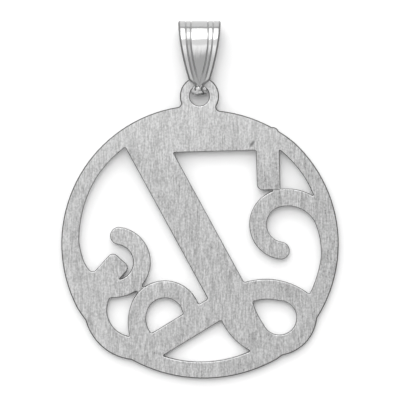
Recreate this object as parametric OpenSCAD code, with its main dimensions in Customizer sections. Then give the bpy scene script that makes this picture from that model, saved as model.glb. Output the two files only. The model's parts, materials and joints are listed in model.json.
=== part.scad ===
// Round pierced initial pendant with a folded bail, lying on its face with the satin back up.
// Millimetres. The origin is on the surface it lies on, under the middle of its footprint.
// +Z is up, +Y points from the disc to the bail, and X runs across the disc.

/* [Plate] */
// thickness of the pierced sheet
plate_t = 1.0; // [0.8:0.05:1.3]
// outer radius of the disc
disc_r = 12.53; // [11.5:0.01:14]
// nominal width of the rim
rim_w = 1.55; // [1.2:0.05:2]
// how far the rim's opening sits to the right of the disc's centre
rim_side = 0.06; // [-0.2:0.01:0.3]
// how far the rim's opening sits above the disc's centre
rim_lift = 0.32; // [0:0.01:0.5]
// radius of the opening's flatter arc along the top
crown_r = 11.26; // [11.15:0.01:11.5]
// how far the middle of that arc sits below the disc's centre
crown_sink = 0.21; // [0.18:0.01:0.3]
// radius of the flatter arc along the foot of the disc
foot_r = 13.45; // [13:0.05:16]
// how much that arc takes off the foot
foot_flat = 0.36; // [0.1:0.01:0.5]
// how far the middle of that arc sits to the right
foot_side = 0.33; // [0:0.01:0.6]
// radius of the lower shoulder between the eye and the serif
shoulder_r = 12.99; // [12.8:0.01:13.4]
// how far the shoulder's crown lies below the disc's
shoulder_drop = 0.41; // [0.2:0.01:0.6]
// how far the shoulder's centre sits to the right
shoulder_side = 0.3; // [0.1:0.01:0.5]

/* [Eye] */
// outer radius of the eye on top of the disc
eye_r = 1.77; // [1.6:0.01:2.1]
// radius of the hole in the eye
eye_hole_r = 0.89; // [0.85:0.01:1]
// height of the eye's centre over the crown of the disc
eye_rise = 0.83; // [0.6:0.01:1.1]
// how far the eye sits to the right of the disc's centre line
eye_side = -0.05; // [-0.2:0.01:0.2]
// fillet where the eye meets the disc
eye_fillet = 0.35; // [0.2:0.05:0.6]

/* [Letter] */
// width of the letter's slanting stem
stem_w = 3.58; // [3:0.01:4]
// lean of the stem from upright, in degrees
stem_lean = 28.6; // [26:0.1:31]
// where the stem's centre line crosses the disc's middle height
stem_side = 0.05; // [-0.3:0.01:0.5]
// height of the top arm's lower edge over the disc's centre
arm_h = 8.32; // [7.8:0.01:8.8]
// slope of the top arm, in degrees
arm_slope = 1.5; // [0:0.1:3]
// where the top arm ends, to the right of the disc's centre
arm_end = 7.39; // [7:0.01:7.6]
// height of the letter's upper right corner, which just breaks the outline
arm_top = 10.38; // [10.1:0.01:10.45]
// rounding of the openings' sharpest corners, beside and under the top arm's serif
nook_r = 0.06; // [0.04:0.01:0.15]
// width of the serif that hangs from the top arm
serif_w = 2.11; // [1.7:0.01:2.4]
// how deep that serif's outer corner bites into the scroll under it
serif_bite = 0.05; // [0.03:0.01:0.2]
// rounding of the serifs' corners
serif_round = 0.54; // [0.3:0.01:0.7]
// depth of the letter's lower corner below the disc's centre
corner_drop = 5.03; // [4.7:0.01:5.3]
// width of the base arm
base_w = 2.27; // [1.9:0.01:2.6]
// slope of the base arm, in degrees
base_slope = 31.4; // [29:0.1:34]

/* [Scrolls] */
// width of the scrolls and of the loop on the base arm
stroke_w = 1.58; // [1.3:0.01:1.8]
// centre line radius of a scroll's small turn
curl_r = 2.4; // [2.2:0.01:2.6]
// centre line radius of a scroll's second turn
sweep_r = 3.54; // [3.3:0.01:3.8]
// centre line radius of the stretch that runs into the rim
run_r = 8.1; // [7.6:0.01:8.8]
// how deep that stretch bites into the rim
run_bite = 0.1; // [0.06:0.01:0.25]
// direction in which the right scroll meets the rim, in degrees
seat_right = -18.4; // [-24:0.1:-16]
// direction in which the left scroll meets the rim, in degrees
seat_left = 169.5; // [165:0.1:174]
// width of the cut-off serif inside the left scroll
stub_w = 2.13; // [1.8:0.01:2.3]
// lean of that serif, in degrees
stub_lean = 48; // [44:0.5:52]
// how far it sits to the side of the scroll's second centre
stub_side = 1.18; // [0.9:0.01:1.3]
// how far its end stays short of that centre
stub_short = 0.09; // [0:0.01:0.4]
// rounding of the notch between that serif and the scroll around it
notch_r = 0.4; // [0.1:0.01:0.6]

/* [Base loop] */
// centre line radius of the loop's round end
loop_r = 2.45; // [2.2:0.01:2.6]
// radius of the loop's outer left side
loop_side_r = 4.82; // [4.5:0.01:5.2]
// radius of the loop's inner left side
loop_inner_r = 2.2; // [2:0.01:2.4]
// distance of the loop's centre from the lower corner along the base arm
loop_along = 5.89; // [5.5:0.01:6.1]
// height of the loop's centre over the base arm
loop_rise = 0.68; // [0.4:0.01:0.8]
// length of the narrow bridge between the loop and the left scroll
web_w = 0.7; // [0.4:0.05:0.9]

/* [Left lobe] */
// outer radius of the lobe at the lower left of the rim
left_r = 4.85; // [4.5:0.01:5.2]
// how far it stands proud of the disc
left_proud = 0.32; // [0.1:0.01:0.6]
// its direction from the disc's centre, in degrees
left_dir = 225; // [221:0.5:229]
// radius of its opening
left_open_r = 2.44; // [2.1:0.01:2.6]
// metal left between the opening and the outline
left_wall = 1.97; // [1.6:0.01:2.4]

/* [Right lobe] */
// outer radius of the lobe at the lower right of the rim
right_r = 3.78; // [3.5:0.01:4.1]
// how far it stands proud of the disc
right_proud = 0.56; // [0.3:0.01:0.8]
// its direction from the disc's centre, in degrees
right_dir = -42.9; // [-46:0.1:-40]
// radius of the round end of its opening
right_open_r = 1.54; // [1.3:0.01:1.7]
// metal left between that end and the outline
right_wall = 1.74; // [1.5:0.01:2]
// radius of the brow over the lobe
brow_r = 6.34; // [6:0.01:6.7]
// radius of the tail's left edge
tail_r = 5.86; // [5.6:0.01:6.2]
// radius of the opening's left edge
throat_r = 6.65; // [6.3:0.01:7]
// radius of the opening's upper edge
lid_r = 3.96; // [3.8:0.01:4.2]

/* [Bail] */
// thickness of the folded strip
strip_t = 0.45; // [0.35:0.01:0.5]
// clearance between the strip's bend and the corners of the eye's metal
bend_gap = 0.13; // [0.11:0.01:0.16]
// radius of the channel for the chain
channel_r = 1.4; // [1.1:0.01:1.6]
// distance from the bend's centre to the channel's centre
bail_rise = 3.63; // [3.3:0.01:4.2]
// width of the bail at the top
bail_w = 3.87; // [3.4:0.01:4.2]
// radius of the bail's curved sides
bail_side_r = 21.9; // [18:0.1:26]
// how far beyond the top those sides would be widest
bail_side_past = 1.36; // [1:0.01:1.8]
// width of the neck that passes through the eye
neck_w = 0.86; // [0.7:0.01:0.9]
// height over the bend's centre at which the neck starts to flare
neck_h = -0.15; // [-0.18:0.01:-0.05]
// flare of the neck's shoulders from upright, in degrees
neck_flare = 50; // [46:1:56]
// width of the grooves between the bail's ribs
groove_w = 0.1; // [0.06:0.01:0.14]
// depth of those grooves
groove_d = 0.08; // [0.04:0.01:0.12]
// width of the bail's centre panel at the top
panel_w = 1.57; // [1.4:0.01:1.7]
// radius of the centre panel's curved sides
panel_r = 13.5; // [12.5:0.1:14.5]
// how far below the top the centre panel is widest
panel_drop = 0.92; // [0.6:0.01:1.1]
// width across the outer pair of grooves at the top
rib_w = 2.49; // [2.3:0.01:2.8]
// radius of the outer grooves
rib_r = 20; // [18:0.1:24]
// how far beyond the top those grooves would be widest
rib_past = 0.2; // [0.1:0.01:0.6]
// lean of the outer grooves where they run together, in degrees from upright
rib_lean = 32; // [26:1:38]
// how far below the bend's centre they would meet
rib_point = 0.5; // [0.35:0.01:0.6]

/* [Hidden] */
$fn = 96;
silver = [0.8, 0.8, 0.79];

// turns of a scroll, as directions from its centres in degrees
scroll_tip = 262.3;
scroll_turn_1 = 104.7;
scroll_turn_2 = 19.8;
// turns of the base loop, as directions in the base arm's frame
loop_start = -31.4;
loop_turn = 128;
loop_stop = 190;
// span of the left lobe's band
lobe_from = 150;
lobe_to = 295;

// how far arcs that run into each other are kept from being exactly tangent
hair = 0.003;
// degrees between the corners of a stroke's curves
arc_step = 5;

rim_open_r = disc_r - rim_w;
rim_c = [rim_side, rim_lift];
crown_c = [rim_side, -crown_sink];
eye_c = [eye_side, disc_r + eye_rise];
shoulder_c = [shoulder_side, disc_r - shoulder_drop - shoulder_r];
foot_y = foot_flat - disc_r;
reach = 2 * disc_r;

function dir(a) = [cos(a), sin(a)];
function turned(p, a) = [p.x * cos(a) - p.y * sin(a), p.x * sin(a) + p.y * cos(a)];
// points along an arc
function arc(c, r, from, to) =
    let (n = ceil(abs(to - from) / arc_step))
    [for (i = [0:n]) c + r * dir(from + (to - from) * i / n)];
// centres of a scroll's three arcs, from the rim inwards
function run_c(seat) = rim_c + (rim_open_r + run_bite - run_r + stroke_w / 2) * dir(seat);
function sweep_c(seat, turn) = run_c(seat) + (run_r - sweep_r) * dir(scroll_turn_2 + turn);
function curl_c(seat, turn) = sweep_c(seat, turn) + (sweep_r - curl_r) * dir(scroll_turn_1 + turn);
// where two circles of radii a1 and a2 meet, on side s
function meet(c1, a1, c2, a2, s) =
    let (
        d = norm(c2 - c1),
        along = (a1 * a1 - a2 * a2 + d * d) / (2 * d),
        off = sqrt(a1 * a1 - along * along),
        u = (c2 - c1) / d
    )
    c1 + along * u + s * off * [u.y, -u.x];
function unit(v) = v / norm(v);

corner = [stem_side + corner_drop * tan(stem_lean), -corner_drop];
loop_local = [-loop_along, base_w / 2 + loop_rise];
loop_c = corner + turned(loop_local, base_slope);
left_c = (disc_r + left_proud - left_r) * dir(left_dir);
left_open_c = (disc_r + left_proud - left_wall - left_open_r) * dir(left_dir);
right_c = (disc_r + right_proud - right_r) * dir(right_dir);
right_open_c = (disc_r + right_proud - right_wall - right_open_r) * dir(right_dir);
// places of the right lobe's arcs, from the lobe's centre
brow_c = right_c + [-0.87, -3.17];
tail_c = right_c + [0.45, 1.84];
throat_c = right_c + [4.36, 2.91];
lid_c = right_c + [-0.75, -2.62];
chord_top = right_c + [1.17, 0.9];
chord_foot = right_c + [-0.72, -1.36];

// the bail swings about the middle of the metal over the eye's hole
pin_y = eye_c.y + (eye_r + eye_hole_r) / 2;
bend_r = norm([(eye_r - eye_hole_r) / 2, plate_t / 2]) + bend_gap;
bend_out = bend_r + strip_t;
arch_out = channel_r + strip_t;
bail_taper = asin((arch_out - bend_out) / bail_rise);
bail_top = bail_rise + arch_out;

// the bail lies flat on one leaf and props the eye up, and the foot rests on the surface
prop = norm([pin_y - foot_y, plate_t / 2]);
plate_tilt = asin(bend_out / prop) - atan2(plate_t / 2, pin_y - foot_y);
plate_z = plate_t / 2 * cos(plate_tilt) - foot_y * sin(plate_tilt);
bail_pitch = bail_taper;
y_low = foot_y * cos(plate_tilt) - plate_t / 2 * sin(plate_tilt);
y_high = pin_y * cos(plate_tilt) + bail_rise * cos(bail_pitch) + arch_out;
mid_y = (y_low + y_high) / 2;

// a wedge from the origin between two directions
module wedge(from, to) {
    step = (to - from) / 4;
    polygon(concat([[0, 0]], [for (i = [0:4]) reach * dir(from + i * step)]));
}

// a bar that ends at the origin, with its last corners rounded
module round_bar(w, len, r) {
    translate([-len, -w / 2]) square([len - r, w]);
    translate([-len, r - w / 2]) square([len, w - 2 * r]);
    for (s = [-1, 1]) {
        translate([-r, s * (w / 2 - r)]) circle(r);
    }
}

// a pointed shape between two arcs, w wide where it is widest
module leaf(r, w) {
    intersection() {
        translate([r - w / 2, 0]) circle(r);
        translate([w / 2 - r, 0]) circle(r);
    }
}

module outline() {
    intersection() {
        circle(disc_r);
        translate([foot_side, foot_y + foot_r]) circle(foot_r);
        union() {
            translate(shoulder_c) circle(shoulder_r);
            translate([eye_side - reach, -disc_r]) square([reach, reach]);
        }
    }
    translate(left_c) circle(left_r);
    translate(right_c) circle(right_r);
}

module rim() {
    difference() {
        circle(disc_r + max(left_proud, right_proud));
        intersection() {
            translate(rim_c) circle(rim_open_r);
            translate(crown_c) circle(crown_r);
        }
        translate(left_open_c) circle(left_open_r);
    }
}

module stem() {
    t = tan(stem_lean);
    half = stem_w / 2 / cos(stem_lean);
    up = disc_r;
    down = corner_drop;
    polygon([
        [stem_side - up * t - half, up],
        [stem_side + down * t - half, -down],
        [stem_side + down * t + half, -down],
        [stem_side - up * t + half, up]
    ]);
}

// centre of the scroll under the top arm's serif, and the serif's foot, in the arm's frame
under_c = turned(sweep_c(seat_right, 0), -arm_slope);
scroll_out_r = sweep_r + stroke_w / 2;
foot = under_c.y + sqrt(scroll_out_r ^ 2 - (arm_end - under_c.x) ^ 2) - serif_bite;

module top_arm() {
    rotate(arm_slope) {
        translate([stem_side - arm_h * tan(stem_lean), arm_h]) {
            square([arm_end - stem_side + arm_h * tan(stem_lean), disc_r - arm_h]);
        }
        translate([arm_end - serif_w, foot]) {
            translate([serif_round, 0]) square([serif_w - serif_round, arm_h - foot]);
            translate([0, serif_round]) square([serif_w, arm_h - foot]);
            translate([serif_round, serif_round]) circle(serif_round);
        }
    }
}

// rounds the corner between the top arm's serif and the rim
module serif_nook() {
    side = arm_end - serif_round;
    c = turned(crown_c, -arm_slope);
    f = [arm_end + nook_r, c.y + sqrt((crown_r - nook_r) ^ 2 - (arm_end + nook_r - c.x) ^ 2)];
    rotate(arm_slope) difference() {
        polygon([[side, f.y], f, c + disc_r * unit(f - c), [side, disc_r]]);
        translate(f) circle(nook_r + hair);
    }
}

// rounds the end of the narrow gap between that serif and the scroll under it
module foot_nook() {
    f_y = foot - nook_r;
    f = [under_c.x - sqrt((scroll_out_r + nook_r) ^ 2 - (f_y - under_c.y) ^ 2), f_y];
    under = under_c + (scroll_out_r - nook_r) * unit(f - under_c);
    rotate(arm_slope) difference() {
        polygon([[f.x, foot + nook_r], f, under, [arm_end - nook_r, foot + nook_r]]);
        translate(f) circle(nook_r + hair);
    }
}

// rounds the opening's tip between the right scroll and the rim
module tip_nook() {
    c = sweep_c(seat_right, 0);
    f = meet(rim_c, rim_open_r - nook_r, c, scroll_out_r + nook_r, -1);
    far = meet(rim_c, rim_open_r + nook_r, c, scroll_out_r - nook_r, -1);
    difference() {
        polygon([
            f,
            c + (scroll_out_r - nook_r) * unit(f - c),
            far,
            rim_c + (rim_open_r + nook_r) * unit(f - rim_c)
        ]);
        translate(f) circle(nook_r + hair);
    }
}

// the letter's rounded upper right corner, a hair outside the disc
module arm_corner() {
    rotate(arm_slope) translate([arm_end - serif_round, arm_top - serif_round]) circle(serif_round);
}

module base_arm() {
    translate(corner) rotate(base_slope) {
        translate([-disc_r, -base_w / 2]) square([disc_r + stem_w / 4, base_w]);
    }
}

module base_loop() {
    out_r = loop_r + stroke_w / 2;
    in_r = loop_r - stroke_w / 2;
    from = base_slope + loop_start;
    turn = base_slope + loop_turn;
    to = base_slope + loop_stop;
    side_c = loop_c + (out_r - loop_side_r) * dir(turn);
    inner_c = loop_c + (in_r - loop_inner_r) * dir(turn);
    polygon(concat(
        arc(loop_c, out_r, from, turn),
        arc(side_c, loop_side_r, turn, to),
        arc(inner_c, loop_inner_r, to, turn),
        arc(loop_c, in_r, turn, from)
    ));
}

// a scroll that leaves the rim, tightens through three arcs and ends in a round tip
module scroll(seat, turn) {
    run = run_c(seat);
    sweep = sweep_c(seat, turn);
    curl = curl_c(seat, turn);
    half = stroke_w / 2;
    a2 = scroll_turn_2 + turn;
    a1 = scroll_turn_1 + turn;
    tip = scroll_tip + turn;
    polygon(concat(
        arc(run, run_r + half, seat, a2),
        arc(sweep, sweep_r + half, a2, a1),
        arc(curl, curl_r + half, a1, tip),
        arc(curl + curl_r * dir(tip), half, tip, tip + 180),
        arc(curl, curl_r - half, tip, a1),
        arc(sweep, sweep_r - half, a1, a2),
        arc(run, run_r - half, a2, seat)
    ));
}

// the cut-off serif inside the left scroll
module stub() {
    root = sqrt(sweep_r * sweep_r - stub_side * stub_side);
    translate(sweep_c(seat_left, 180)) rotate(stub_lean) {
        translate([-stub_short, -stub_side]) {
            round_bar(stub_w, root - stub_short, serif_round);
        }
    }
}

// rounds the notch between that serif and the scroll around it
module notch() {
    in_r = sweep_r - stroke_w / 2;
    top = stub_w / 2 - stub_side;
    f = [-sqrt((in_r - notch_r) ^ 2 - (top + notch_r) ^ 2), top + notch_r];
    translate(sweep_c(seat_left, 180)) rotate(stub_lean) difference() {
        polygon([f, sweep_r * unit(f), [-sweep_r, top - notch_r], [f.x, top - notch_r]]);
        translate(f) circle(notch_r + hair);
    }
}

// the narrow bridge between the base loop and the left scroll
module web() {
    c = curl_c(seat_left, 180);
    u = unit(loop_c - c);
    near = curl_r + stroke_w / 2;
    far = norm(loop_c - c) - loop_r - stroke_w / 2;
    translate(c) rotate(atan2(u.y, u.x)) {
        translate([near - web_w / 4, -web_w / 2]) square([far - near + web_w / 2, web_w]);
    }
}

module left_lobe() {
    difference() {
        translate(left_c) intersection() {
            circle(left_r);
            wedge(lobe_from, lobe_to);
        }
        translate(left_open_c) circle(left_open_r);
    }
}

module right_lobe() {
    intersection() {
        translate(brow_c) circle(brow_r);
        translate(tail_c) circle(tail_r);
    }
}

module right_opening() {
    along = chord_top - chord_foot;
    translate(right_open_c) circle(right_open_r);
    intersection() {
        translate(throat_c) circle(throat_r);
        translate(lid_c) circle(lid_r);
        polygon([chord_foot - along, chord_top + along, chord_top - [reach, 0], chord_foot - [reach, 0]]);
    }
}

// centre of the fillet between the eye and the edge under it, on side s
function fillet_c(c, r, s) = meet(c, r + eye_fillet, eye_c, eye_r + eye_fillet, s);

module eye() {
    left = fillet_c([0, 0], disc_r, -1);
    right = fillet_c(shoulder_c, shoulder_r, 1);
    translate(eye_c) circle(eye_r);
    difference() {
        polygon([left * 0.9, shoulder_c + (right - shoulder_c) * 0.9, right, eye_c, left]);
        translate(left) circle(eye_fillet + hair);
        translate(right) circle(eye_fillet + hair);
    }
}

module plate_2d() {
    difference() {
        union() {
            intersection() {
                outline();
                union() {
                    rim();
                    stem();
                    top_arm();
                    serif_nook();
                    foot_nook();
                    tip_nook();
                    base_arm();
                    base_loop();
                    scroll(seat_right, 0);
                    scroll(seat_left, 180);
                    stub();
                    notch();
                    web();
                    left_lobe();
                    right_lobe();
                }
            }
            arm_corner();
            eye();
        }
        right_opening();
        translate(eye_c) circle(eye_hole_r);
    }
}

// side view of the closed strip, d inside its outer face
module loop_2d(d) {
    rb = bend_out - d;
    ra = arch_out - d;
    b = (rb - hair) * [-sin(bail_taper), cos(bail_taper)];
    a = [bail_rise, 0] + (ra - hair) * [-sin(bail_taper), cos(bail_taper)];
    circle(rb);
    translate([bail_rise, 0]) circle(ra);
    polygon([b, [b.x, -b.y], [a.x, -a.y], a]);
}

module loop_solid(d, w) {
    rotate([90, 0, 90]) linear_extrude(w, center = true) loop_2d(d);
}

// front view of the bail: curved sides that flare from the neck
module bail_2d() {
    side_w = bail_w + 2 * (bail_side_r - sqrt(bail_side_r ^ 2 - bail_side_past ^ 2));
    flare_h = bail_w / 2 / tan(neck_flare);
    intersection() {
        translate([0, bail_top + bail_side_past]) leaf(bail_side_r, side_w);
        union() {
            translate([-neck_w / 2, -bend_out - 1]) square([neck_w, bend_out + 1 + bail_top]);
            polygon([
                [-neck_w / 2, neck_h],
                [neck_w / 2, neck_h],
                [(neck_w + bail_w) / 2, neck_h + flare_h],
                [(neck_w + bail_w) / 2, bail_top + 1],
                [-(neck_w + bail_w) / 2, bail_top + 1],
                [-(neck_w + bail_w) / 2, neck_h + flare_h]
            ]);
        }
    }
}

// the area inside the outer grooves, grown by d on each side
module rib_area(d) {
    up = 2 * bail_top;
    intersection() {
        translate([0, bail_top + rib_past]) leaf(rib_r, rib_w + 2 * d);
        translate([0, -rib_point - d / sin(rib_lean)]) {
            polygon([[0, 0], [up * tan(rib_lean), up], [-up * tan(rib_lean), up]]);
        }
    }
}

// the lines between the ribs
module grooves_2d() {
    difference() {
        translate([0, bail_top - panel_drop]) leaf(panel_r, panel_w + groove_w);
        translate([0, bail_top - panel_drop]) leaf(panel_r, panel_w - groove_w);
    }
    difference() {
        rib_area(groove_w / 2);
        rib_area(-groove_w / 2);
    }
}

module initial_disc() {
    color(silver)
    translate([0, -mid_y, plate_z]) rotate([plate_tilt, 0, 0]) {
        linear_extrude(plate_t, center = true) plate_2d();
    }
}

module bail() {
    color(silver)
    translate([eye_side, pin_y * cos(plate_tilt) - mid_y, bend_out]) rotate([bail_pitch, 0, 0]) {
        difference() {
            intersection() {
                difference() {
                    loop_solid(0, 2 * bail_w);
                    loop_solid(strip_t, 3 * bail_w);
                }
                linear_extrude(4 * arch_out, center = true) bail_2d();
            }
            intersection() {
                difference() {
                    loop_solid(-strip_t, 2 * bail_w);
                    loop_solid(groove_d, 3 * bail_w);
                }
                linear_extrude(4 * arch_out, center = true) grooves_2d();
            }
        }
    }
}

initial_disc();
bail();
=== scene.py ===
import json
import math

import bpy
from bpy.props import FloatProperty, FloatVectorProperty, IntProperty, PointerProperty
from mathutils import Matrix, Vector, noise


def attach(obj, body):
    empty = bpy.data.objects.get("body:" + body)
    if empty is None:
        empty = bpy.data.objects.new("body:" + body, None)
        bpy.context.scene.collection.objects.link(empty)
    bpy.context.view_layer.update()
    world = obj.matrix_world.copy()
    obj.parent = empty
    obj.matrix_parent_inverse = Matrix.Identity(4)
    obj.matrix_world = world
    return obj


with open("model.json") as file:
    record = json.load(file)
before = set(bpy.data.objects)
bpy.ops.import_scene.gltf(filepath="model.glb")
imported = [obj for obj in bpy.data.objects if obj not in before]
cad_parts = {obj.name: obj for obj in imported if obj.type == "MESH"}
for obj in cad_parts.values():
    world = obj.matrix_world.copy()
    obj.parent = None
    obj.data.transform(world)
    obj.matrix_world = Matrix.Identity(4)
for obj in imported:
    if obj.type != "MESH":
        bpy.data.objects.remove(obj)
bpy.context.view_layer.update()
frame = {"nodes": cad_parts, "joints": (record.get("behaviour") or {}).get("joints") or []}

bl_info = {
    "name": "Initial pendant",
    "version": (1, 0, 0),
    "blender": (4, 5, 0),
    "location": "3D View > Sidebar > Pendant",
    "description": "Finishes a pierced silver initial pendant and sets it on a pale studio floor",
    "category": "Object",
}

MM = 0.001
PLATE = "initial_disc"
BAIL = "bail"
PIN = Vector(frame["joints"][0]["pos_m"])

# the plate as it lies, eye end up

PLATE_MIDDLE = (0.0, -3.967 * MM, 0.838 * MM)
PLATE_SLOPE = math.radians(1.592)
HALF_THICKNESS = 0.5 * MM

# depths below the satin face where each band of painted edge shade starts and where it is full

EDGE_START = (0.01 * MM, 0.06 * MM)
RIM_START = (0.001 * MM, 0.012 * MM)
WALL_START = (0.1 * MM, 0.16 * MM)
WALL_END = (0.84 * MM, 0.9 * MM)
BACK_START = (0.93 * MM, 0.99 * MM)

# circles on the plate, each its middle and its radius

RIM_BAND = (PLATE_MIDDLE[0], PLATE_MIDDLE[1], 11.7 * MM)
EYE_HOLE = (-0.05 * MM, 9.38 * MM, 1.1 * MM)
BASE_LOOP = (-3.181 * MM, -10.514 * MM, 3.24 * MM)
BRIDGE = (-5.43 * MM, -8.05 * MM, 0.34 * MM)

# the line under the serif: its middle and half its length

SERIF_FOOT = (6.88 * MM, 0.96 * MM)
SERIF_FOOT_HALF = 0.3 * MM

# the seams' width from full to none, the fade at their ends and the gap to the painted highlight beside
# the base loop's

SEAM_WIDTH = (0.02 * MM, 0.06 * MM)
SEAM_FADE = 0.08 * MM
PAINTED_HIGHLIGHT_GAP = 0.1 * MM

# painted shade and light on the satin's face: painted shade towards the right, painted light above the
# middle

RIGHTWARD_PAINTED_SHADE = 7.0
PAINTED_LIGHT_BAND = (1.0 * MM, 8.0 * MM)
PAINTED_LIGHT_GAIN = 0.17

# the scuff on the plate: its direction, half its length and half its width

SCUFF_TURN = (0.64, 0.77)
SCUFF_HALF = (0.42 * MM, 0.17 * MM)

# the bail's front view, as distances from its middle line and up its leaf from the hinge:
# circles as above, and lines by their slope, their foot and their distance from it

LEAF_SLOPE = math.radians(9.58)
PANEL_ARC = (-12.715 * MM, 4.56 * MM, 13.5 * MM)
RIB_ARC = (-18.755 * MM, 5.68 * MM, 20.0 * MM)
SIDE_ARC = (-19.923 * MM, 6.84 * MM, 21.9 * MM)
RIB_LINE = (math.radians(32.0), -0.5 * MM, 0.0)
SHOULDER_LINE = (math.radians(50.0), -0.15 * MM, 0.276 * MM)

# widths of the bail's grooves, of the painted shade on its sides and of its painted tone steps, and the
# fades of its painted shade along its length

GROOVE_WIDTH = (0.03 * MM, 0.09 * MM)
SIDE_BAND = (-0.22 * MM, -0.14 * MM)
TONE_STEP = 0.05 * MM
MIDDLE_STEP = 0.2 * MM
LOWER_PAINTED_SHADE_FADE = 1.3 * MM
TOP_PAINTED_SHADE_FADE = 0.3 * MM

# where the bail's edges are rounded: above its neck, and fully outside the ribs

NECK_TOP = 11.1 * MM
RIBS_FOOT = 11.56 * MM
RIBS_HALF = 0.91 * MM
RIBS_FLARE = 0.148
INNER_SHARE = 0.15

# noise cells in each metre along x, y and z

GRAIN_CELLS_DEEP = 400.0
BROAD_CELLS = (1500.0, 350.0, 350.0)
SPECK_CELLS = (6500.0, 5000.0, 5000.0)
DRAWN_CELLS = (7000.0, 900.0, 900.0)
CLOUD_CELLS = (900.0, 900.0, 900.0)
PIT_CELLS = (3200.0, 3200.0, 3200.0)

# the solder bead, as degrees about the hinge and as noise on a unit ball

BEAD_MIDDLE = -27.0
BEAD_SPREAD = 46.0
LUMP_SCALE = 2.2
LUMP_SEED = Vector((3.1, 0.4, 7.7))
RIPPLE_SCALE = 6.0
RIPPLE_SEED = Vector((1.7, 2.9, 0.3))
WAIST_WIDTH = 0.3

# the camera's sensor in millimetres, and the nearest thing that it sees

SENSOR_WIDTH = 36.0
NEAREST = 0.01

# heights in the surroundings, from the horizon at 0 to straight up at 1

TENT_EDGE = (0.42, 0.56)
TENT_FOOT = (0.02, 0.2)
WALL_FADE = (0.06, 0.3)
CROWN_EDGE = (0.86, 0.96)


# shader maths

class Wire:
    """A node's output socket that takes part in Python expressions."""

    def __init__(self, graph, socket):
        self.graph = graph
        self.socket = socket

    def _math(self, operation, *terms):
        return self.graph.add("ShaderNodeMath", {"operation": operation}, dict(enumerate(terms)))

    def __add__(self, other):
        return self._math("ADD", self, other)

    __radd__ = __add__

    def __sub__(self, other):
        return self._math("SUBTRACT", self, other)

    def __rsub__(self, other):
        return self._math("SUBTRACT", other, self)

    def __mul__(self, other):
        return self._math("MULTIPLY", self, other)

    __rmul__ = __mul__

    def __truediv__(self, other):
        return self._math("DIVIDE", self, other)

    def __rtruediv__(self, other):
        return self._math("DIVIDE", other, self)

    def __pow__(self, other):
        return self._math("POWER", self, other)

    def __rpow__(self, other):
        return self._math("POWER", other, self)

    def __gt__(self, other):
        return self._math("GREATER_THAN", self, other)

    def __lt__(self, other):
        return self._math("LESS_THAN", self, other)

    def least(self, other):
        return self._math("MINIMUM", self, other)

    def most(self, other):
        return self._math("MAXIMUM", self, other)

    def absolute(self):
        return self._math("ABSOLUTE", self)

    def clamped(self):
        return self.least(1.0).most(0.0)

    def ramp(self, low, high):
        """0 below low, 1 above high and smooth between them."""
        return self.graph.add(
            "ShaderNodeMapRange",
            {"interpolation_type": "SMOOTHSTEP"},
            {"Value": self, "From Min": low, "From Max": high},
        )


class Graph:
    """A node tree that is written as expressions."""

    def __init__(self, tree):
        self.tree = tree
        tree.nodes.clear()

    def add(self, kind, settings=None, inputs=None, out=0):
        """A new node, as the wire of one of its outputs, or None if it has none."""
        node = self.tree.nodes.new(kind)
        for key, value in (settings or {}).items():
            setattr(node, key, value)
        for key, value in (inputs or {}).items():
            if isinstance(value, Wire):
                self.tree.links.new(value.socket, node.inputs[key])
            else:
                node.inputs[key].default_value = value
        return Wire(self, node.outputs[out]) if len(node.outputs) else None

    def place(self):
        """The point on the piece, in metres in the pendant's own frame."""
        return self.add("ShaderNodeTexCoord", out="Object")

    def parts(self, vector):
        """The x, y and z of a vector."""
        first = self.add("ShaderNodeSeparateXYZ", inputs={0: vector})
        return [Wire(self, output) for output in first.socket.node.outputs]

    def noise(self, place, cells, detail=2.0, roughness=0.5):
        """Soft noise between 0 and 1, with so many cells in each metre along x, y and z."""
        spread = self.add("ShaderNodeVectorMath", {"operation": "MULTIPLY"}, {0: place, 1: cells})
        return self.add(
            "ShaderNodeTexNoise",
            inputs={"Vector": spread, "Scale": 1.0, "Detail": detail, "Roughness": roughness},
        )

    def mix(self, amount, low, high):
        """Two colours, by amount."""
        return self.add("ShaderNodeMix", {"data_type": "RGBA"}, {0: amount, 6: low, 7: high}, out=2)

    def bump(self, height, strength, distance):
        return self.add(
            "ShaderNodeBump", inputs={"Height": height, "Strength": strength, "Distance": distance}
        )

    def finish(self, sockets):
        """Sends a Principled shader with these sockets to the material's output."""
        surface = self.add("ShaderNodeBsdfPrincipled", inputs=sockets)
        self.add("ShaderNodeOutputMaterial", inputs={"Surface": surface})

    def sharp_edges(self, degrees):
        """1 on the edges whose faces meet at more than this angle."""
        return self.add("GeometryNodeInputMeshEdgeAngle") > math.radians(degrees)


def new_material(name):
    material = bpy.data.materials.new(name)
    material.use_nodes = True
    return material, Graph(material.node_tree)


def rgba(colour, gain=1.0):
    return (*(min(c * gain, 1.0) for c in colour), 1.0)


def outside(across, up, circle):
    """How far a place lies outside a circle."""
    right, above = across - circle[0], up - circle[1]
    return (right * right + above * above) ** 0.5 - circle[2]


def past_line(across, up, line):
    """How far a place lies past a line, on the side away from the middle."""
    slope, foot, gap = line
    return across * math.cos(slope) - (up - foot) * math.sin(slope) - gap


def below_satin(y, z):
    """How far a point of the plate lies below its satin face, which slopes a little."""
    rise = (y - PLATE_MIDDLE[1]) * math.sin(PLATE_SLOPE)
    return HALF_THICKNESS + rise - (z - PLATE_MIDDLE[2]) * math.cos(PLATE_SLOPE)


def thin_line(distance, past_end):
    """1 on a thin line that fades past its ends."""
    return (1.0 - distance.absolute().ramp(*SEAM_WIDTH)) * (1.0 - past_end.ramp(0.0, SEAM_FADE))


# finishes

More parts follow.
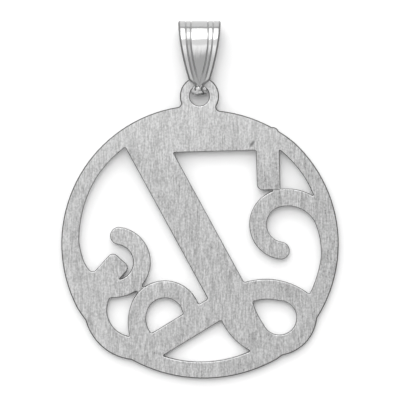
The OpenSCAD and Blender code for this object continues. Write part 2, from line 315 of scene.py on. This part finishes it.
def satin_silver(props):
    """Sawn sheet with an upright brushed grain and fine speckle, painted shade on its edges and seams,
    and painted light and shade across its face.
    """

    def shade(share):
        return rgba(props.satin_colour, share)

    material, sh = new_material("satin_silver")
    place = sh.place()
    x, y, z = sh.parts(place)
    fine = sh.noise(place, (1 / props.grain_width, 1 / props.grain_length, GRAIN_CELLS_DEEP), 3.0)
    broad = sh.noise(place, BROAD_CELLS)
    speck = sh.noise(place, SPECK_CELLS, roughness=0.6)
    tone = (fine * 0.45 + speck * 0.4 + broad * 0.15).ramp(0.3, 0.7)
    # painted shade towards the right and painted light above the middle
    tone = tone - x * RIGHTWARD_PAINTED_SHADE + y.ramp(*PAINTED_LIGHT_BAND) * PAINTED_LIGHT_GAIN
    colour = sh.mix(tone, shade(0.64), shade(1.38))

    # one dark scuff
    right, up = x - props.scuff_place[0], y - props.scuff_place[1]
    along = (right * SCUFF_TURN[0] + up * SCUFF_TURN[1]) / SCUFF_HALF[0]
    across = (up * SCUFF_TURN[0] - right * SCUFF_TURN[1]) / SCUFF_HALF[1]
    patch = (1.0 - along * along - across * across).clamped()
    scuff = patch * (fine * 0.5 + speck).ramp(0.3, 0.65)
    colour = sh.mix(scuff * 0.9, colour, shade(0.3))

    # the dark seams: a joint line with painted edge shade along the base loop, and painted shadow under
    # the serif's foot, with a painted highlight beside the loop's
    past_bridge = outside(x, y, BRIDGE)
    ring = outside(x, y, BASE_LOOP)
    past_foot = (x - SERIF_FOOT[0]).absolute() - SERIF_FOOT_HALF
    seam_and_painted_shade = thin_line(ring, past_bridge).most(thin_line(y - SERIF_FOOT[1], past_foot))
    seam_painted_highlight = thin_line(ring + PAINTED_HIGHLIGHT_GAP, past_bridge)
    colour = sh.mix(seam_painted_highlight * 0.8, colour, shade(1.6))
    colour = sh.mix(seam_and_painted_shade * 0.8, colour, shade(0.35))

    # painted shade on the edges, by the depth below the satin face: darkest round the rim, lighter on
    # the walls
    depth = below_satin(y, z)
    wall = depth.ramp(*WALL_START) * (1.0 - depth.ramp(*WALL_END))
    rim = outside(x, y, RIM_BAND).ramp(0.0, 0.1 * MM) * outside(x, y, EYE_HOLE).ramp(0.0, 0.15 * MM)
    edge = depth.ramp(*EDGE_START).most(depth.ramp(*RIM_START) * rim)
    edge = edge * (1.0 - depth.ramp(*BACK_START))
    painted_edge_colour = sh.mix(rim, shade(props.painted_edge_shade), shade(props.painted_edge_shade * 0.65))
    painted_edge_colour = sh.mix(wall, painted_edge_colour, shade(0.7))
    sh.finish(
        {
            "Base Color": sh.mix(edge, colour, painted_edge_colour),
            "Metallic": 1.0,
            "Roughness": 0.27 + tone * 0.1 + edge * 0.1,
            "Normal": sh.bump(fine * 0.6 + speck * 0.4, 0.35, 0.02 * MM),
        }
    )
    return material


def polished_silver(props):
    """Bright ribbed strip with faint drawn lines, with painted shade towards the eye, across its top
    band, on its left inner rib, in the tone steps of its ribs and along its sides.
    """

    def shade(share):
        return rgba(props.polish_colour, share)

    material, sh = new_material("polished_silver")
    place = sh.place()
    x, y, z = sh.parts(place)
    lines = sh.noise(place, DRAWN_CELLS)
    cloud = sh.noise(place, CLOUD_CELLS, 3.0)
    streaks = (lines + cloud - 1.0) * 0.6

    # where the point is among the ribs of the front view
    side = (x - PIN.x).absolute()
    height = (y - PIN.y) * math.cos(LEAF_SLOPE) + (z - PIN.z) * math.sin(LEAF_SLOPE)
    panel = outside(side, height, PANEL_ARC)
    ribs = outside(side, height, RIB_ARC).most(past_line(side, height, RIB_LINE))
    # painted shade steps between the outer ribs, the middle panel and the left inner rib
    outer = ribs.ramp(0.0, TONE_STEP)
    left_rib_painted_shade = panel.ramp(0.0, TONE_STEP) * (1.0 - outer) * (PIN.x - x).ramp(0.0, MIDDLE_STEP)
    groove = 1.0 - panel.absolute().least(ribs.absolute()).ramp(*GROOVE_WIDTH)
    # painted shade along the strip's sides and shoulders
    shoulder = past_line(side, height, SHOULDER_LINE)
    edge = outside(side, height, SIDE_ARC).most(shoulder).ramp(*SIDE_BAND)

    # painted light and shade along its length: painted shade towards the eye, on the left inner rib and
    # across the top band
    painted_light_along = ((y - props.painted_shade_below) / LOWER_PAINTED_SHADE_FADE + streaks).ramp(0.0, 1.0)
    painted_light_along = painted_light_along * (1.0 - left_rib_painted_shade * 0.6)
    # painted shade across the strip's top band
    rubbed = ((y - props.painted_shade_above) / TOP_PAINTED_SHADE_FADE + streaks).ramp(0.0, 1.0)
    colour = sh.mix(painted_light_along, sh.mix(outer, shade(0.43), shade(0.62)), shade(1.0))
    colour = sh.mix(rubbed, colour, shade(0.6))
    colour = sh.mix(groove, colour, shade(0.5))
    sh.finish(
        {
            "Base Color": sh.mix(edge, colour, shade(props.painted_edge_shade)),
            "Metallic": 1.0,
            "Roughness": 0.08 + lines * 0.1 + groove * 0.2 + edge * 0.3,
            "Normal": sh.bump(lines * 0.5 + cloud * 0.5, 0.15, 0.01 * MM),
        }
    )
    return material


def solder_silver(props):
    """Duller silver with small pits, as it ran and froze."""
    material, sh = new_material("solder_silver")
    pits = sh.noise(sh.place(), PIT_CELLS, 3.0)
    dark, light = rgba(props.polish_colour, 0.4), rgba(props.polish_colour, 1.1)
    sh.finish(
        {
            "Base Color": sh.mix(pits.ramp(0.35, 0.6), dark, light),
            "Metallic": 0.6,
            "Roughness": 0.42 - pits * 0.2,
            "Normal": sh.bump(pits, 0.3, 0.04 * MM),
        }
    )
    return material


# pieces

def mesh_group(name, build):
    """A geometry node group whose geometry goes through build(graph, geometry)."""
    tree = bpy.data.node_groups.new(name, "GeometryNodeTree")
    tree.interface.new_socket("Geometry", in_out="INPUT", socket_type="NodeSocketGeometry")
    tree.interface.new_socket("Geometry", in_out="OUTPUT", socket_type="NodeSocketGeometry")
    graph = Graph(tree)
    result = build(graph, graph.add("NodeGroupInput"))
    graph.add("NodeGroupOutput", inputs={0: result})
    return tree


def smooth_curves(graph, geometry):
    """Shades all smooth but the edges that are still sharp after the rounding."""
    faces = graph.add("GeometryNodeSetShadeSmooth", {"domain": "FACE"}, {"Geometry": geometry})
    return graph.add(
        "GeometryNodeSetShadeSmooth",
        {"domain": "EDGE"},
        {"Geometry": faces, "Selection": graph.sharp_edges(32.0), "Shade Smooth": False},
    )


def weigh_edges(share):
    """Gives each sharp edge its share(x, y) of the rounding, or all of it if share is None."""

    def build(graph, geometry):
        weight = graph.sharp_edges(40.0)
        if share:
            x, y, _ = graph.parts(graph.add("GeometryNodeInputPosition"))
            weight = weight * share(x, y)
        return graph.add(
            "GeometryNodeStoreNamedAttribute",
            {"domain": "EDGE", "data_type": "FLOAT"},
            {"Geometry": geometry, "Name": "bevel_weight_edge", "Value": weight},
        )

    return build


def bail_share(x, y):
    """All of it along the leaves' sides, little between the ribs and none at the neck."""
    past_ribs = (x - PIN.x).absolute() - (RIBS_HALF + (y - RIBS_FOOT) * RIBS_FLARE)
    share = INNER_SHARE + past_ribs.ramp(0.0, 0.02 * MM) * (1.0 - INNER_SHARE)
    return share * (y > NECK_TOP)


def soften(node, width, steps, miter, share=None):
    """Welds a CAD node's faces, rounds its edges and shades its curves smoothly."""
    weld = node.modifiers.new("joined_faces", "WELD")
    weld.merge_threshold = 0.006 * MM
    flat = node.modifiers.new("whole_faces", "DECIMATE")
    flat.decimate_type = "DISSOLVE"
    flat.angle_limit = math.radians(0.3)
    shares = node.modifiers.new("rounding_shares", "NODES")
    shares.node_group = mesh_group("rounding_shares", weigh_edges(share))
    bevel = node.modifiers.new("rounded_edges", "BEVEL")
    bevel.width = width
    bevel.segments = steps
    bevel.limit_method = "WEIGHT"
    bevel.use_clamp_overlap = False
    bevel.loop_slide = False
    bevel.miter_outer = miter
    smooth = node.modifiers.new("smooth_curves", "NODES")
    smooth.node_group = mesh_group("smooth_curves", smooth_curves)
    normals = node.modifiers.new("flat_faces", "WEIGHTED_NORMAL")
    normals.keep_sharp = True


def dress(node, material):
    node.data.materials.clear()
    node.data.materials.append(material)


class PendantSizes(bpy.types.PropertyGroup):
    """Edges, grain, colours and solder of the silver."""

    plate_edge: FloatProperty(
        name="Plate edge", description="Rounding of the plate's edges", default=0.12 * MM,
        min=0.0, unit="LENGTH", precision=6,
    )
    bail_edge: FloatProperty(
        name="Bail edge", description="Rounding of the strip's edges", default=0.19 * MM,
        min=0.0, unit="LENGTH", precision=6,
    )
    edge_steps: IntProperty(
        name="Edge steps", description="Facets across each rounding", default=3, min=1, max=6,
    )
    grain_width: FloatProperty(
        name="Grain width", description="Width of a brushed line", default=0.08 * MM,
        unit="LENGTH", precision=6,
    )
    grain_length: FloatProperty(
        name="Grain length", description="Length of a brushed line", default=0.8 * MM,
        unit="LENGTH", precision=6,
    )
    scuff_place: FloatVectorProperty(
        name="Scuff", description="Where the plate has a dark scuff", size=2,
        default=(4.71 * MM, 5.08 * MM), unit="LENGTH", precision=6,
    )
    satin_colour: FloatVectorProperty(
        name="Satin silver", description="Colour of the plate", subtype="COLOR",
        default=(0.54, 0.54, 0.54), min=0.0, max=1.0,
    )
    polish_colour: FloatVectorProperty(
        name="Polished silver", description="Colour of the bail", subtype="COLOR",
        default=(0.8, 0.8, 0.8), min=0.0, max=1.0,
    )
    # painted shade: the share of the colour that the rounded edges keep
    painted_edge_shade: FloatProperty(
        name="Edge shade", description="Share of the colour that the edges keep", default=0.3,
        min=0.0, max=1.0,
    )
    # painted shade: the strip is darkest below this height
    painted_shade_below: FloatProperty(
        name="Dull below", description="Height below which the strip is at its dullest",
        default=12.6 * MM, unit="LENGTH", precision=6,
    )
    # painted shade: the strip's top band is darker above this height
    painted_shade_above: FloatProperty(
        name="Rubbed above", description="Height above which the chain has rubbed the strip",
        default=15.3 * MM, unit="LENGTH", precision=6,
    )
    bead_width: FloatProperty(
        name="Bead width", description="Half the width of the solder bead in the eye",
        default=0.72 * MM, unit="LENGTH", precision=6,
    )
    bead_radius: FloatProperty(
        name="Bead radius", description="Distance of the bead's middle from the hinge",
        default=1.13 * MM, unit="LENGTH", precision=6,
    )
    bead_height: FloatProperty(
        name="Bead height", description="Half the bead's thickness", default=0.19 * MM,
        unit="LENGTH", precision=6,
    )


class StageSizes(bpy.types.PropertyGroup):
    """Floor, camera and light."""

    floor_size: FloatProperty(
        name="Floor", description="Radius of the floor", default=0.45, unit="LENGTH",
    )
    floor_colour: FloatVectorProperty(
        name="Floor colour", description="Colour of the floor", subtype="COLOR",
        default=(0.9, 0.9, 0.9), min=0.0, max=1.0,
    )
    view_width: FloatProperty(
        name="View width", description="Width that the camera sees", default=36.12 * MM,
        unit="LENGTH", precision=6,
    )
    view_height: FloatProperty(
        name="View height", description="Height of the surface that the view width is for",
        default=1.35 * MM, unit="LENGTH", precision=6,
    )
    lens: FloatProperty(
        name="Lens", description="Focal length", default=400.0, subtype="DISTANCE_CAMERA",
    )
    sky_light: FloatProperty(
        name="Sky", description="Brightness of the white surroundings", default=0.75, min=0.0,
    )
    fill_light: FloatProperty(
        name="Fill", description="Power of the softbox over the floor", default=1.05, min=0.0,
    )
    key_light: FloatProperty(
        name="Key", description="Power of the softbox at the top of the picture", default=0.7,
        min=0.0,
    )


class PENDANT_OT_plate(bpy.types.Operator):
    """Gives the pierced plate rounded edges and its satin finish"""

    bl_idname = "pendant.plate"
    bl_label = "Pierced plate"

    def execute(self, context):
        props = context.scene.pendant_sizes
        node = frame["nodes"][PLATE]
        soften(node, props.plate_edge, props.edge_steps, "MITER_ARC")
        dress(node, satin_silver(props))
        return {"FINISHED"}


class PENDANT_OT_bail(bpy.types.Operator):
    """Gives the folded bail rounded edges and its polish"""

    bl_idname = "pendant.bail"
    bl_label = "Bail"

    def execute(self, context):
        props = context.scene.pendant_sizes
        node = frame["nodes"][BAIL]
        soften(node, props.bail_edge, props.edge_steps, "MITER_SHARP", bail_share)
        dress(node, polished_silver(props))
        return {"FINISHED"}


def bead_point(p, props):
    """A point of the solder bead, bent round the hinge, from a point of a unit ball."""
    lump = noise.noise(p * LUMP_SCALE + LUMP_SEED)
    ripple = noise.noise(p * RIPPLE_SCALE + RIPPLE_SEED)
    waist = 1.0 - 0.1 * math.exp(-((p.x / WAIST_WIDTH) ** 2))
    turn = math.radians(BEAD_MIDDLE + BEAD_SPREAD * p.y * (1.0 + 0.15 * lump))
    radius = props.bead_radius + props.bead_height * (p.z * waist + 0.45 * lump + 0.15 * ripple)
    across = props.bead_width * p.x * (1.0 + 0.1 * lump)
    return PIN + Vector((across, -radius * math.cos(turn), -radius * math.sin(turn)))


class PENDANT_OT_bead(bpy.types.Operator):
    """Adds the lumpy solder that closes the bail's bend inside the eye"""

    bl_idname = "pendant.bead"
    bl_label = "Solder bead"

    def execute(self, context):
        props = context.scene.pendant_sizes
        bpy.ops.mesh.primitive_ico_sphere_add(subdivisions=5, radius=1.0)
        bead = context.active_object
        bead.name = "bail_solder"
        for vertex in bead.data.vertices:
            vertex.co = bead_point(vertex.co, props)
        bead.data.shade_smooth()
        bead.data.materials.append(solder_silver(props))
        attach(bead, "bail")
        return {"FINISHED"}


# stage

def studio_world(world, strength):
    """A pale tent that leans toward the top of the picture, over a dimmer wall."""
    world.use_nodes = True
    sh = Graph(world.node_tree)
    x, y, z = sh.parts(sh.add("ShaderNodeTexCoord", out="Generated"))
    leaning = z + y * 0.3 - x * 0.1 - x * x * 0.25
    tent = leaning.ramp(*TENT_EDGE) * z.ramp(*TENT_FOOT)
    toward_top = (y - x * 0.3).ramp(0.0, 0.8)
    wall_light = 0.85 - z.ramp(*WALL_FADE) * 0.4
    tent_light = (1.45 + toward_top * 0.65) * (1.0 - z.ramp(*CROWN_EDGE) * 0.24)
    light = wall_light * (1.0 - tent) + tent * tent_light
    white = (1.0, 1.0, 1.0, 1.0)
    surface = sh.add("ShaderNodeBackground", inputs={"Color": white, "Strength": light * strength})
    sh.add("ShaderNodeOutputWorld", inputs={"Surface": surface})


def add_softbox(name, place, size, power):
    """An area light that faces the pendant."""
    data = bpy.data.lights.new(name, "AREA")
    data.shape = "RECTANGLE"
    data.size, data.size_y = size
    data.energy = power
    light = bpy.data.objects.new(name, data)
    light.location = place
    light.rotation_euler = (-Vector(place)).to_track_quat("-Z", "Y").to_euler()
    bpy.context.scene.collection.objects.link(light)
    return light


def add_camera(scene, props):
    """A long lens straight above, at the distance that shows the view width."""
    data = bpy.data.cameras.new("camera")
    data.lens = props.lens
    data.sensor_width = SENSOR_WIDTH
    data.clip_start = NEAREST
    camera = bpy.data.objects.new("camera", data)
    distance = props.view_width * data.lens / data.sensor_width
    camera.location = (0.0, 0.0, props.view_height + distance)
    scene.collection.objects.link(camera)
    scene.camera = camera


class PENDANT_OT_stage(bpy.types.Operator):
    """Sets up the pale floor, the soft light and the camera straight above"""

    bl_idname = "pendant.stage"
    bl_label = "Stage"

    def execute(self, context):
        scene = context.scene
        props = scene.stage_sizes
        bpy.ops.mesh.primitive_circle_add(vertices=96, radius=props.floor_size, fill_type="NGON")
        floor = context.active_object
        floor.name = "floor"
        material, sh = new_material("floor_paper")
        sh.finish({"Base Color": rgba(props.floor_colour), "Roughness": 0.9, "Specular IOR Level": 0.1})
        floor.data.materials.append(material)

        scene.world = bpy.data.worlds.new("studio")
        studio_world(scene.world, props.sky_light)
        add_softbox("softbox_top", (-0.04, 0.3, 0.5), (0.6, 0.4), props.key_light)
        fill = add_softbox("softbox_floor", (-0.03, 0.11, 0.59), (0.22, 0.22), props.fill_light)
        fill.visible_glossy = False
        add_camera(scene, props)
        scene.view_settings.view_transform = "Standard"
        return {"FINISHED"}


class PENDANT_PT_panel(bpy.types.Panel):
    """Lists the pieces, the stage and their sizes"""

    bl_idname = "PENDANT_PT_panel"
    bl_label = "Initial pendant"
    bl_space_type = "VIEW_3D"
    bl_region_type = "UI"
    bl_category = "Pendant"

    def draw(self, context):
        layout = self.layout
        for operator in OPERATORS:
            layout.operator(operator.bl_idname)
        for group in (context.scene.pendant_sizes, context.scene.stage_sizes):
            for key in group.bl_rna.properties.keys():
                if key not in {"rna_type", "name"}:
                    layout.prop(group, key)


OPERATORS = (PENDANT_OT_plate, PENDANT_OT_bail, PENDANT_OT_bead, PENDANT_OT_stage)
CLASSES = (PendantSizes, StageSizes, *OPERATORS, PENDANT_PT_panel)


def register():
    for cls in CLASSES:
        bpy.utils.register_class(cls)
    bpy.types.Scene.pendant_sizes = PointerProperty(type=PendantSizes)
    bpy.types.Scene.stage_sizes = PointerProperty(type=StageSizes)


def unregister():
    del bpy.types.Scene.stage_sizes
    del bpy.types.Scene.pendant_sizes
    for cls in reversed(CLASSES):
        bpy.utils.unregister_class(cls)


def main():
    register()
    bpy.ops.pendant.plate()
    bpy.ops.pendant.bail()
    bpy.ops.pendant.bead()
    bpy.ops.pendant.stage()


if __name__ == "__main__":
    main()
